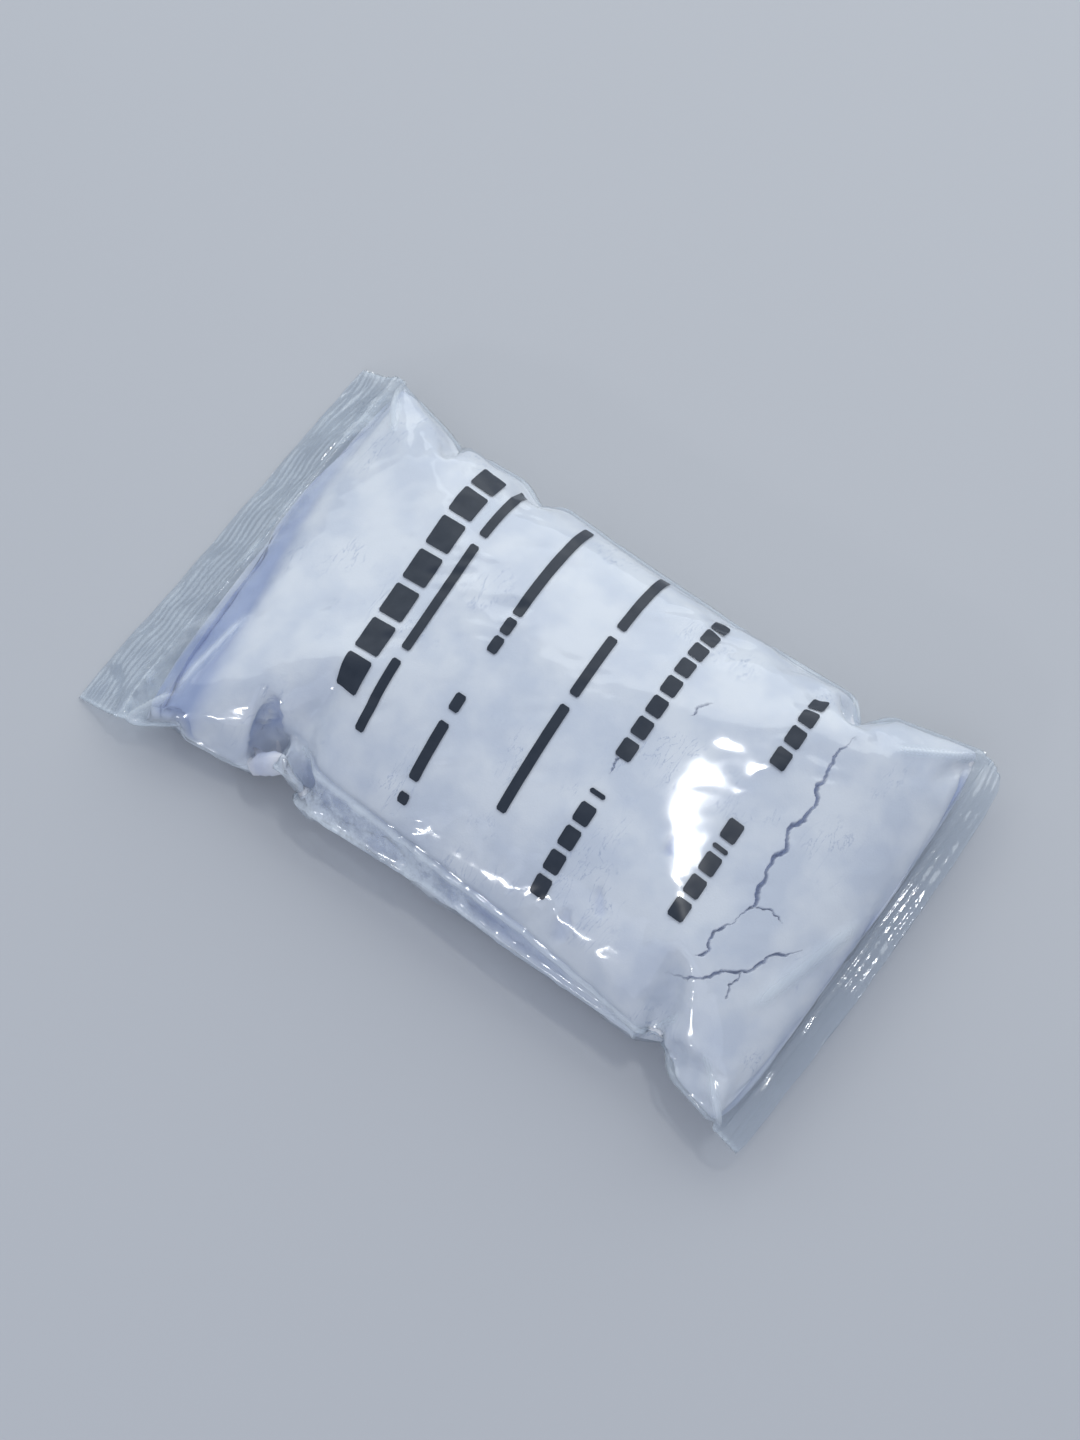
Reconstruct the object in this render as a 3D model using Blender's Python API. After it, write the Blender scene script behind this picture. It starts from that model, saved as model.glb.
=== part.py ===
"""Clear film pillow bag of 1 kg white cement, lying flat on its back.

The bag is a lay-flat tube of polythene film, welded shut at both ends: a narrow plain weld at the
bottom and a wide ribbed weld at the top. The powder inside swells it to a pillow. A tube that is
filled grows narrower, so its four welded corners stand out as ears.

Metres. +Y runs towards the ribbed weld, +X to the right of the printed face, +Z up through it.
The origin is on the floor, under the middle of the bag.
"""

import math

import bmesh
import bpy

# The film tube
FLAT_WIDTH = 0.150
FILM_THICKNESS = 0.00015

# How far the welded bands reach beyond their welds, and how far they droop there
TOP_BAND_LENGTH = 0.0165
TOP_BAND_DROOP = 0.0105
BOTTOM_BAND_LENGTH = 0.008
BOTTOM_BAND_DROOP = 0.003

# The filled pillow
BODY_LENGTH = 0.2345
WAIST_WIDTH = 0.129
BODY_HEIGHT = 0.044
SIDE_FOLD_HEIGHT = 0.015
TOP_WELD_HEIGHT = 0.0115
BOTTOM_WELD_HEIGHT = 0.015
FLOOR_FLATTENING = 0.028

# Where a side fold buckles inwards, and the panel above it slumps: the side, the place along the
# pillow, and the shares of the depth and of the slump
PINCH_DEPTH = 0.006
PINCH_SLUMP = 0.012
PINCH_REACH = 0.08
PINCHES = (
    (-1, 0.52, 1.0, 1.0),
    (1, 0.42, 0.5, 0.0),
    (-1, -0.70, 1.0, 0.0),
    (1, -0.63, 0.6, 0.0),
)

# The powder and the empty film between it and each weld
POWDER_CLEARANCE = 0.0004
TOP_HEADSPACE = 0.006
BOTTOM_HEADSPACE = 0.006

# A pin-prick in the back panel lets the air out when bags are stacked
VENT_DIAMETER = 0.002
VENT_FROM_WELD = 0.0045

# Shape powers: how late the pillow turns down to each weld, how slack the film hangs there (0.5 is
# a round end, 1 a straight slope), and how late it widens to its ears
TOP_DOME_POWER = 3.0
BOTTOM_DOME_POWER = 3.9
TOP_SLACK = 0.85
BOTTOM_SLACK = 0.8
EAR_POWER = 4.4

# How round the sections are: 1 is an ellipse, less is squarer and more is nearer a ridge
MIDDLE_ROUNDNESS = 1.0
END_ROUNDNESS = 0.6
BACK_ROUNDNESS = 1.2

# The powder's end section as a share of the full one, and how late the powder shrinks to it
POWDER_END_SHARE = 0.45
POWDER_END_POWER = 14.0

# Mesh fineness
SEGMENTS = 36
STATIONS = 36
VENT_SEGMENTS = 12

# The bands reach a little into the pillow, which is this high above its folds where it meets them
BAND_OVERLAP = 0.0015
WELD_TIP = 0.4 * FILM_THICKNESS
BODY_CENTRE_Y = (BOTTOM_BAND_LENGTH - TOP_BAND_LENGTH) / 2

FILM_COLOUR = (0.74, 0.80, 0.90, 1.0)
CEMENT_COLOUR = (0.80, 0.80, 0.84, 1.0)


def clear_scene():
    for item in list(bpy.data.objects):
        bpy.data.objects.remove(item, do_unlink=True)


def new_collection(name):
    collection = bpy.data.collections.new(name)
    bpy.context.scene.collection.children.link(collection)
    return collection


def new_material(name, colour, roughness):
    material = bpy.data.materials.new(name)
    material.use_nodes = True
    shader = material.node_tree.nodes["Principled BSDF"]
    shader.inputs["Base Color"].default_value = colour
    shader.inputs["Roughness"].default_value = roughness
    shader.inputs["Metallic"].default_value = 0.0
    material.diffuse_color = colour
    return material


def new_object(name, mesh_data, collection):
    mesh_data.normal_update()
    bmesh.ops.recalc_face_normals(mesh_data, faces=mesh_data.faces)
    mesh = bpy.data.meshes.new(name)
    mesh_data.to_mesh(mesh)
    mesh_data.free()
    item = bpy.data.objects.new(name, mesh)
    collection.objects.link(item)
    return item


def as_cutter(item):
    item.hide_render = True
    item.display_type = "WIRE"
    return item


def add_boolean(item, operation, other):
    modifier = item.modifiers.new(f"{operation} {other.name}", "BOOLEAN")
    modifier.operation = operation
    modifier.solver = "EXACT"
    modifier.object = other


def mix(start, end, share):
    return start + (end - start) * share


def rounded(value, power):
    """value to a power, keeping its sign: a circle's sine or cosine made squarer or rounder."""
    return math.copysign(abs(value) ** power, value)


def fullness(along):
    """0 at the bottom weld (along is -1) and at the top one (1), and 1 in the middle."""
    if along > 0:
        return (1 - min(along, 1) ** TOP_DOME_POWER) ** TOP_SLACK
    return (1 - min(-along, 1) ** BOTTOM_DOME_POWER) ** BOTTOM_SLACK


def pinched(along, side):
    """How far the left (side is -1) or right (1) fold is drawn in there, and how far it slumps."""
    depth = slump = 0.0
    for fold, place, depth_share, slump_share in PINCHES:
        if fold == side:
            near = math.exp(-(((along - place) / PINCH_REACH) ** 2))
            depth += PINCH_DEPTH * depth_share * near
            slump += PINCH_SLUMP * slump_share * near
    return depth, slump


def section_reach(height, full, inset):
    """How far a section rises or drops from its folds. The inset fades out at the closed weld."""
    reach = mix(WELD_TIP, height, full)
    return reach - inset * (1 - WELD_TIP / reach)


def skin_point(along, angle, inset, shrink):
    """A point of the pillow's skin, moved in by inset. The section there is shrunk about its folds."""
    full = fullness(along)
    side = math.copysign(1, math.cos(angle))
    pinch, slump = pinched(along, side)
    weld_z = TOP_WELD_HEIGHT if along > 0 else BOTTOM_WELD_HEIGHT
    fold_z = mix(weld_z, SIDE_FOLD_HEIGHT, full)
    if math.sin(angle) > 0:
        roundness = mix(MIDDLE_ROUNDNESS, END_ROUNDNESS, along**2)
        height = section_reach(BODY_HEIGHT - SIDE_FOLD_HEIGHT, full, inset)
        height -= slump * math.cos(angle) ** 2
    else:
        roundness = BACK_ROUNDNESS
        height = section_reach(SIDE_FOLD_HEIGHT + FLOOR_FLATTENING, full, inset)
    half_width = mix(WAIST_WIDTH, FLAT_WIDTH, abs(along) ** EAR_POWER) / 2 - pinch - inset
    x = shrink * half_width * rounded(math.cos(angle), roundness)
    y = BODY_CENTRE_Y + along * (BODY_LENGTH / 2 - inset)
    z = fold_z + shrink * height * rounded(math.sin(angle), roundness)
    return x, y, max(z, inset)


def end_shrink(share):
    """Rounds off the ends of the powder: 1 along most of its length, and less at share -1 and 1."""
    return math.sqrt(1 - (1 - POWDER_END_SHARE**2) * abs(share) ** POWDER_END_POWER)


def pillow(name, collection, inset, start=-1.0, end=1.0, round_ends=False):
    """The pillow's solid from along = start to end, every surface moved in by inset.

    A capped cylinder is cut into stations, closer together near its ends, and each of its rings is
    moved onto the pillow's section there. All skins share their stations, and their warped quads
    are split along the same diagonal, so that two insets stay apart by an even wall. Rings beyond
    the start or end lie in its flat face.
    """
    tube = bmesh.new()
    bmesh.ops.create_cone(
        tube, cap_ends=True, segments=SEGMENTS, radius1=1, radius2=1, depth=2
    )
    lengthwise = [e for e in tube.edges if abs(e.verts[0].co.z - e.verts[1].co.z) > 1]
    bmesh.ops.subdivide_edges(tube, edges=lengthwise, cuts=STATIONS - 1, use_grid_fill=True)
    for vertex in tube.verts:
        share = math.sin(vertex.co.z * math.pi / 2)
        angle = math.atan2(vertex.co.y, vertex.co.x)
        along = min(max(share, start), end)
        shrink = end_shrink(share) if round_ends else 1.0
        vertex.co = skin_point(along, angle, inset, shrink)
    bmesh.ops.triangulate(tube, faces=tube.faces, quad_method="FIXED")
    return new_object(name, tube, collection)


def weld_band(name, collection, side, length, weld_z, droop):
    """The two film layers welded flat beyond the pillow's end. side is 1 at the top, -1 at the bottom."""
    weld_y = BODY_CENTRE_Y + side * BODY_LENGTH / 2
    band = bmesh.new()
    bmesh.ops.create_cube(band, size=1)
    for vertex in band.verts:
        outwards = vertex.co.y * side + 0.5
        vertex.co = (
            vertex.co.x * FLAT_WIDTH,
            weld_y + side * mix(-BAND_OVERLAP, length, outwards),
            weld_z - droop * outwards + vertex.co.z * 2 * FILM_THICKNESS,
        )
    return new_object(name, band, collection)


def vent(collection):
    """The needle that pricks the back panel, near the ribbed weld."""
    needle = bmesh.new()
    bmesh.ops.create_cone(
        needle,
        cap_ends=True,
        segments=VENT_SEGMENTS,
        radius1=VENT_DIAMETER / 2,
        radius2=VENT_DIAMETER / 2,
        depth=2 * TOP_WELD_HEIGHT,
    )
    y = BODY_CENTRE_Y + BODY_LENGTH / 2 - VENT_FROM_WELD
    bmesh.ops.translate(needle, verts=needle.verts, vec=(0, y, 0))
    return new_object("vent_needle", needle, collection)


def build_film_bag(parts, cutters, material):
    film = pillow("film_bag", parts, inset=0.0)
    for name, side, length, weld_z, droop in (
        ("ribbed_weld_band", 1, TOP_BAND_LENGTH, TOP_WELD_HEIGHT, TOP_BAND_DROOP),
        ("plain_weld_band", -1, BOTTOM_BAND_LENGTH, BOTTOM_WELD_HEIGHT, BOTTOM_BAND_DROOP),
    ):
        band = as_cutter(weld_band(name, cutters, side, length, weld_z, droop))
        add_boolean(film, "UNION", band)
    cavity = as_cutter(pillow("cavity", cutters, inset=FILM_THICKNESS))
    add_boolean(cavity, "UNION", as_cutter(vent(cutters)))
    add_boolean(film, "DIFFERENCE", cavity)
    film.data.materials.append(material)
    return film


def build_cement_fill(parts, material):
    half_length = BODY_LENGTH / 2 - FILM_THICKNESS - POWDER_CLEARANCE
    fill = pillow(
        "cement_fill",
        parts,
        inset=FILM_THICKNESS + POWDER_CLEARANCE,
        start=BOTTOM_HEADSPACE / half_length - 1,
        end=1 - TOP_HEADSPACE / half_length,
        round_ends=True,
    )
    fill.data.materials.append(material)
    return fill


def main():
    clear_scene()
    parts = new_collection("cement_bag")
    cutters = new_collection("cutters")
    film = build_film_bag(parts, cutters, new_material("clear_film", FILM_COLOUR, 0.15))
    fill = build_cement_fill(parts, new_material("white_cement", CEMENT_COLOUR, 0.95))
    for item in (film, fill):
        item.data.shade_smooth()


main()
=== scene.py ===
import math

import bmesh
import bpy
import numpy as np
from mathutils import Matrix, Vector, noise
from mathutils.bvhtree import BVHTree
from mathutils.kdtree import KDTree


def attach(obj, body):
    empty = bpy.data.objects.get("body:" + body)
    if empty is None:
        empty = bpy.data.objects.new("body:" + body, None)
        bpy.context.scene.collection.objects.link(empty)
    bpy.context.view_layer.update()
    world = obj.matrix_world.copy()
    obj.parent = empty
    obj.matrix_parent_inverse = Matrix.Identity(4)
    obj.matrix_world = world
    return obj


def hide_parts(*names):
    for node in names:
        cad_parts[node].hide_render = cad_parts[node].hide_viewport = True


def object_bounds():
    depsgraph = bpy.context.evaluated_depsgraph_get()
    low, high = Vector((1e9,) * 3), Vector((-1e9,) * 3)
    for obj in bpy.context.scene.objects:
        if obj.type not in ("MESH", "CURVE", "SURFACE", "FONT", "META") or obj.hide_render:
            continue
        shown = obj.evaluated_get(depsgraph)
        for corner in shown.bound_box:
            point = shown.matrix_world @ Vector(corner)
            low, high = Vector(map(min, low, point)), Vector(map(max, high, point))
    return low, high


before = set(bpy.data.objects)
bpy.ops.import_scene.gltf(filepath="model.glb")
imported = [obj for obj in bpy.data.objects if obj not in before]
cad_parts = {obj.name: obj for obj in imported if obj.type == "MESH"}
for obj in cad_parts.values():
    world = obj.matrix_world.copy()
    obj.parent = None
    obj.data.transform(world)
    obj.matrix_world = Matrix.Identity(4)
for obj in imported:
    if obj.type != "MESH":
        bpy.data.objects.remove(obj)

CAD_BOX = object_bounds()

# The film as cut, lay-flat, in metres. X runs across the bag and Y along it, to the wide band.
FILM_WIDTH = 0.150
FILM_LENGTH = 0.277
TOP_BAND = 0.020
BOTTOM_BAND = 0.008
FILM_THICKNESS = 0.00015
TOP_WELD = FILM_LENGTH / 2 - TOP_BAND
BOTTOM_WELD = BOTTOM_BAND - FILM_LENGTH / 2

# The cloth simulation runs at ten times the size, first coarse and then twice as fine. Each run has its
# number of frames, the inside pressure at some of them, and its cloth's vertex mass and bending stiffness.
SIM_SCALE = 10
COLUMNS, ROWS = 60, 111
COARSE_RUN = {"frames": 70, "pressure": ((1, 4), (25, 60)), "vertex_mass": 0.03, "bending": 3}
FINE_RUN = {"frames": 12, "pressure": ((1, 60),), "vertex_mass": 0.0075, "bending": 1}
BAND_STIFFNESS = 100
FOLD_STIFFNESS_SHARE = 0.3
BAG_LITRES = 0.985
POWDER_HEAD = 0.1
FLOOR_GAP = 0.001
FLOOR_CLOTH_REACH = 0.4

# The tube before it is filled, in metres: how far its layers lie apart, how far it stands open, how uneven
# it is and how finely, with a seed for each panel, and how high it starts over the floor.
LAYER_GAP = 0.0004
START_OPENING = 0.003
UNEVENNESS = 0.0012
UNEVEN_PER_METRE = 40
UPPER_SEED, LOWER_SEED = 1.7, 8.3
START_HEIGHT = 0.025

# Where the side folds start to pinch in: the side, the distance from the top weld and the depth, and how
# far each reaches along its fold and in from it, in metres.
PINCHES = ((-1, 0.062, 0.014), (-1, 0.215, 0.005), (1, 0.075, 0.004), (1, 0.205, 0.004))
PINCH_LENGTH = 0.005
PINCH_REACH = 0.014

# The finished film's grid: steps across a panel, and along the plain band, the body and the ribbed band.
# The middle of the upper panel is evened out, over this half width.
FINE_COLUMNS = 150
BOTTOM_BAND_STEPS = 18
BODY_STEPS = 208
TOP_BAND_STEPS = 57
CROWN_HALF_WIDTH = 0.045

# The bands' ribs, which end short of the weld and the cut edge, and the bead beside each weld, in metres.
RIB_PITCH = 0.0027
RIB_HEIGHT = 0.00020
RIB_FADE = 0.0010
BAND_WAVE = 0.0005
BEAD_HEIGHT = 0.0006
BEAD_FROM_WELD = 0.0012
BEAD_HALF_WIDTH = 0.0007

# The crests along the side folds and the long crease, in metres: their height and half width, and the half
# width of the long one's white line, which is a painted highlight along its crest together with the
# whitening of creased film.
CREASE_HEIGHT = 0.0006
CREASE_HALF_WIDTH = 0.0012
CREASE_HIGHLIGHT_HALF_WIDTH = 0.0017

# The long crease in the upper panel, from the left pinch down to the side fold: its corners, each a flat y
# and the distance from the left side fold, and how far from its ends it fades.
LEFT_CREASE = ((-0.096, 0.001), (-0.070, 0.005), (-0.032, 0.009), (0.030, 0.013), (0.058, 0.015))
LEFT_CREASE_FADE = 0.010

# The strip of film beside the long crease, in metres: how far it reaches round the side fold, and how soft
# its edges are above and below. Two things fade in it towards the plain band, the dust on the film and the
# powder's hollow under it: the flat y where each ends, and the length over which it fades.
STRIP_BELOW = 0.006
STRIP_EDGE = 0.0008
STRIP_EDGE_BELOW = 0.0015
STRIP_DUST_FADE = (-0.06, 0.06)
STRIP_HOLLOW_FADE = (-0.085, 0.060)

# Straight creases in the upper panel, in millimetres: the flat x and the distance from the top weld of
# their two ends, how far they stand out, and their half width.
# Each straight crease is also painted white along its crest: a painted highlight together with the whitening
# of creased film.
FOLDS = (
    (-75, 2, -60, 19, 1.2, 1.3),
    (-62, 18, -26, 25, 1.0, 1.4),
    (-59, 225, -74, 247, 1.1, 1.1),
    (-58, 214, -75, 206, 0.8, 1.1),
    (-43, 228, 4, 242, 0.8, 2.2),
    (50, 216, 74, 247, 0.9, 1.3),
    (73, 3, 50, 24, 0.8, 1.2),
)

# V-shaped dents in it, in millimetres: the middle's flat x and distance from the top weld, the two half
# lengths, the depth, and how far the long one is turned from across the bag, in radians.
DENTS = (
    (-61, 52, 17, 5.5, 6.5, 0.35),
    (-68, 226, 14, 6.5, 3.0, -1.0),
)

# Faint crinkles over the whole film, in metres: their height, that of a finer grain, how near the welds
# they fade, and where the film is drawn taut and has few.
WRINKLE_HEIGHT = 0.0020
GRAIN_HEIGHT = 0.00005
WELD_FADE = 0.006
TAUT_Y = -0.055
TAUT_HALF_WIDTH = 0.034
TAUT_HALF_LENGTH = 0.030

# Dust on the film: how far it reaches from the top weld, in metres, how thick it is there, from 0 to 1, and
# the share of it on the ribbed band.
DUST_REACH = 0.022
DUST_AT_WELD = 0.7
DUST_ON_BAND = 0.2

# The powder's grid: how many of the film's columns make one step round it, and its rows in a rounded end
# and between the two.
POWDER_STEP = 1.25
CAP_ROWS = 14
POWDER_ROWS = 185

# The powder, in metres: its clearance to the film, its rounded ends, how far these stop short of the welds
# and wander, how much shorter its left side is and how wide the change to it, how far it lies open inside
# the top weld and beside the long crease, and its lumps.
POWDER_GAP = 0.0004
POWDER_CAP = 0.006
TOP_HEADSPACE = 0.003
BOTTOM_HEADSPACE = 0.003
END_WANDER = 0.003
LEFT_SHORTER = 0.003
LEFT_WIDTH = 0.035
TROUGH_DEPTH = 0.0048
TROUGH_START = 0.003
TROUGH_REACH = 0.005
TROUGH_REACH_LEFT = 0.0085
STRIP_DEPTH = 0.0030
STRIP_LUMPS = 0.0040
SURFACE_INSET = 0.0002
SURFACE_LUMPS = 0.0004

# From how far off the film the powder takes its full painted shade, darker and bluer, in metres, and where
# on the left it takes less of it.
FULL_SHADE_GAP = 0.003
LEFT_SIDE_X = -0.045
LEFT_SIDE_END = 0.06
LEFT_SIDE_LESS_SHADE = 0.45

# Cracks in the powder: half width, depth and corners, in millimetres. A corner is the flat distance across
# from the bag's middle, and the distance from the top weld.
CRACKS = (
    (0.42, 2.6, (
        (47, 206), (35, 205), (26, 205), (19, 208), (11, 206), (4, 209), (-6, 208), (-17, 211), (-25, 209),
    )),
    (0.30, 2.0, ((-25, 209), (-30, 206), (-36, 208), (-41, 204))),
    (0.32, 2.0, ((-17, 231), (-25, 224), (-34, 220), (-42, 213), (-51, 200))),
    (0.20, 1.6, ((-34, 220), (-40, 219), (-45, 221))),
    (0.22, 1.6, ((20, 162), (24, 162), (28, 165))),
    (0.22, 1.4, ((-10, 153), (-5, 152), (-1, 154))),
    (0.18, 1.4, ((-17, 211), (-14, 216), (-15, 221))),
)

# How crooked a crack is, and in metres, its longest straight step, the distances from it within which the
# powder's mesh is split, once for each, and how near two of the mesh's points count as one.
CRACK_JITTER = 0.16
CRACK_STEP = 0.00035
CRACK_SPLITS = (0.0030, 0.0018, 0.0011)
SAME_POINT = 1e-6

# Hollows in the powder under the film, in millimetres: flat x, distance from the top weld, the two half
# lengths and the depth, and the lean in radians. None reaches further than the limit.
HOLLOWS = (
    (-59, 51, 12.0, 3.4, 3.0, 0.35),
    (-15, 182, 5.5, 3.0, 2.8, 0.35),
    (-56, 167, 7.0, 2.6, 1.8, 0.10),
    (-44, 173, 5.0, 1.6, 1.0, 0.60),
)
HOLLOW_LIMIT = 30

# Plain ink blocks, in millimetres: a row's distance from the top weld in the bag's middle, how fast that
# grows to the right, the row's height, and its runs of equal blocks. A run is its start, a block's width,
# the gap between blocks, and how many there are.
PRINT_ROWS = (
    (67, -0.10, 9.0, (
        (-34, 11.4, 2.4, 7),
    )),
    (77.5, -0.10, 3.2, (
        (-42, 25, 0, 1),
        (-13, 42, 0, 1),
        (33, 35, 0, 1),
    )),
    (101, -0.08, 3.6, (
        (-53, 3.6, 0, 1),
        (-45, 20, 0, 1),
        (-21, 6.0, 0, 1),
        (1, 6.0, 1.4, 2),
        (16, 50, 0, 1),
    )),
    (130, -0.07, 3.4, (
        (-38, 38, 0, 1),
        (4, 24, 0, 1),
        (32, 36, 0, 1),
    )),
    (153, -0.05, 5.4, (
        (-53, 6.6, 1.8, 4),
        (-18, 1.6, 0, 1),
        (-4, 6.6, 1.8, 8),
    )),
    (192.5, -0.04, 5.4, (
        (-35, 6.6, 1.8, 3),
        (-10, 1.6, 0, 1),
        (-6, 7, 0, 1),
        (22, 6.6, 1.8, 4),
    )),
)
INK_STEP = 0.7
INK_CORNER = 0.0005
INK_LIFT = 0.00005
INK_THICKNESS = 0.00003
INK_SHARP_ANGLE = 40

# Colours of the film's clear and dusty parts, the dusty one also carrying the painted highlight on the
# creases, of the powder pressed on the film and of the painted shade, darker and bluer, on it away from the
# film, of its clouds and of the painted shade of fine crinkle lines, and of the plain surfaces, each with
# its lighter tone.
CLEAR_FILM = (0.908, 0.934, 0.962, 1)
# The dusty film colour also serves the painted highlight along the creases.
DUST_AND_HIGHLIGHT_FILM = (0.82, 0.89, 0.94, 1)
PRESSED_POWDER = (0.84, 0.84, 0.85, 1)
# Painted shade colour for the powder where the film stands off it.
GAP_SHADED_POWDER = (0.49, 0.55, 0.73, 1)
POWDER_CLOUD = (0.84, 0.865, 0.915, 1)
# Painted shade colour of the fine crinkle lines in the powder.
CRINKLE_SHADE_LINE = (0.40, 0.45, 0.58, 1)
WHITE = (1, 1, 1, 1)
INK = (0.020, 0.028, 0.042)
INK_LIGHTER = (0.040, 0.050, 0.068)
FLOOR = (0.50, 0.515, 0.54)
FLOOR_LIGHTER = (0.515, 0.53, 0.555)

# The lamps, which all point at the target: name, place, size, power and colour.
LAMPS = (
    ("key", (0.29, -0.13, 0.93), (0.16, 0.06), 1.1, (1, 1, 0.98)),
    ("glint", (-0.78, 0.12, 0.44), (0.08, 0.05), 0.4, (1, 1, 1)),
    ("main", (1.40, 0.15, 0.80), (1.9, 1.9), 14.5, (0.97, 1, 0.98)),
    ("window", (0.35, 1.10, 0.90), (1.5, 0.8), 4, (0.95, 1, 0.98)),
    ("fill", (-1.0, -0.3, 0.9), (1.2, 1.2), 2.8, (0.80, 0.86, 1)),
)
SURROUND = (0.74, 0.80, 0.94, 1)
SURROUND_STRENGTH = 0.52

# The camera's target, its direction from there in degrees, its distance in metres and its lens, and the
# round floor.
TARGET = Vector((0, 0, 0.02))
CAMERA_AZIMUTH = 306
CAMERA_ELEVATION = 68
CAMERA_DISTANCE = 0.76
CAMERA_LENS = 61
FLOOR_RADIUS = 1.7
FLOOR_CORNERS = 96
FLOOR_DROP = 0.0002


def bell(offset, half_width):
    """1 at offset 0, falling smoothly to 0 a few half widths away."""
    return np.exp(-(offset / half_width) ** 2)


def noise_on(points, size, seed):
    """Smooth noise, about -0.5 to 0.5, at each point of an array, with features of that size."""
    values = []
    for point in points.reshape(-1, points.shape[-1]) / size:
        third = point[2] if len(point) > 2 else seed
        values.append(noise.noise(Vector((point[0] + seed, point[1] - 3 * seed, third))))
    return np.array(values).reshape(points.shape[:-1])


def pattern(columns, rows):
    """The lay-flat tube as rings: flat x of a ring's points, flat y of the rings, and each point's panel.
    The panel is 1 above, -1 below and 0 on the two side folds."""
    upper = np.linspace(-FILM_WIDTH / 2, FILM_WIDTH / 2, columns + 1)
    x = np.concatenate([upper, upper[-2:0:-1]])
    panel = np.concatenate([[0], np.ones(columns - 1), [0], -np.ones(columns - 1)])
    y = (np.arange(rows + 1) / rows - 0.5) * FILM_LENGTH
    return x, y, panel


def weld_rows(rows):
    return round(BOTTOM_BAND / FILM_LENGTH * rows), rows - round(TOP_BAND / FILM_LENGTH * rows)


def mirrored(ring):
    """For each point of a ring, the number of the point that lies on it in the other panel."""
    return -np.arange(ring) % ring


def vertex_numbers(rows, ring):
    """Vertex number of every ring point. At the two cut ends the panels share their points."""
    numbers = np.arange(rows * ring).reshape(rows, ring)
    lower = np.arange(ring) > ring // 2
    for row in (0, rows - 1):
        numbers[row, lower] = numbers[row, mirrored(ring)[lower]]
    return np.unique(numbers, return_inverse=True)[1].reshape(rows, ring)


def by_vertex(values, numbers):
    """What an array says of every ring point, its place or one value, in the order of the vertices."""
    ordered = np.empty((numbers.max() + 1, *values.shape[2:]))
    ordered[numbers.ravel()] = values.reshape(-1, *values.shape[2:])
    return ordered


def ring_faces(numbers):
    ahead = np.roll(numbers, -1, axis=1)
    quads = np.stack([numbers[:-1], ahead[:-1], ahead[1:], numbers[1:]], axis=-1)
    return quads.reshape(-1, 4)


def new_piece(name, points, faces, edges=()):
    mesh = bpy.data.meshes.new(name)
    mesh.from_pydata(np.asarray(points).tolist(), list(edges), [list(map(int, face)) for face in faces])
    mesh.validate()
    mesh.shade_smooth()
    piece = bpy.data.objects.new(name, mesh)
    bpy.context.scene.collection.objects.link(piece)
    return piece


def add_point_values(mesh, name, values):
    layer = mesh.attributes.new(name, "FLOAT", "POINT")
    layer.data.foreach_set("value", np.asarray(values, np.float32))


def grid_normals(grid, closed):
    """Outward normals of a grid of points, (rows, columns, 3). A closed grid wraps round."""
    if closed:
        across = np.roll(grid, -1, axis=1) - np.roll(grid, 1, axis=1)
    else:
        across = np.gradient(grid, axis=1)
    along = np.gradient(grid, axis=0)
    normal = np.cross(across, along)
    return normal / np.maximum(np.linalg.norm(normal, axis=2, keepdims=True), 1e-12)


def cubic_matrix(positions, count, closed):
    """A matrix that reads a run of count points at fractional positions, along a Catmull-Rom curve."""
    base = np.floor(positions).astype(int)
    t = positions - base
    weights = (
        -t ** 3 / 2 + t ** 2 - t / 2,
        3 * t ** 3 / 2 - 5 * t ** 2 / 2 + 1,
        -3 * t ** 3 / 2 + 2 * t ** 2 + t / 2,
        t ** 3 / 2 - t ** 2 / 2,
    )
    matrix = np.zeros((len(positions), count))
    for shift, weight in enumerate(weights, start=-1):
        column = (base + shift) % count if closed else np.clip(base + shift, 0, count - 1)
        np.add.at(matrix, (np.arange(len(positions)), column), weight)
    return matrix


def resample(rings, row_positions, ring_positions):
    by_row = np.tensordot(cubic_matrix(row_positions, rings.shape[0], False), rings, axes=(1, 0))
    across = cubic_matrix(ring_positions, rings.shape[1], True)
    return np.einsum("kj,rjc->rkc", across, by_row)


def even_rings(rings, passes):
    """Evens out closed rings across and along, their first and last rows held."""
    for _ in range(passes):
        rings = (np.roll(rings, 1, axis=1) + 2 * rings + np.roll(rings, -1, axis=1)) / 4
        rings[1:-1] = (rings[:-2] + 2 * rings[1:-1] + rings[2:]) / 4
    return rings


def even_strip(strip, passes):
    """Evens out a strip of points across the bag, its two ends held."""
    for _ in range(passes):
        strip[:, 1:-1] = (strip[:, :-2] + 2 * strip[:, 1:-1] + strip[:, 2:]) / 4
    return strip


def ring_point(grid, column, row):
    """Reads a closed grid at fractional columns and rows, arrays of one shape."""
    whole_column = np.floor(column).astype(int)
    whole_row = np.clip(row.astype(int), 0, grid.shape[0] - 2)
    s = (column - whole_column)[..., None]
    t = (row - whole_row)[..., None]
    here = whole_column % grid.shape[1]
    ahead = (here + 1) % grid.shape[1]
    near = grid[whole_row, here] * (1 - s) + grid[whole_row, ahead] * s
    far = grid[whole_row + 1, here] * (1 - s) + grid[whole_row + 1, ahead] * s
    return near * (1 - t) + far * t


def flat_tube(columns, rows):
    """The lay-flat tube's rings, its two layers a little apart and one at the cut ends."""
    x, y, panel = pattern(columns, rows)
    rings = np.empty((rows + 1, 2 * columns, 3))
    rings[..., 0] = x
    rings[..., 1] = y[:, None]
    rings[..., 2] = LAYER_GAP * panel
    rings[[0, -1], :, 2] = 0
    return rings


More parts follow.
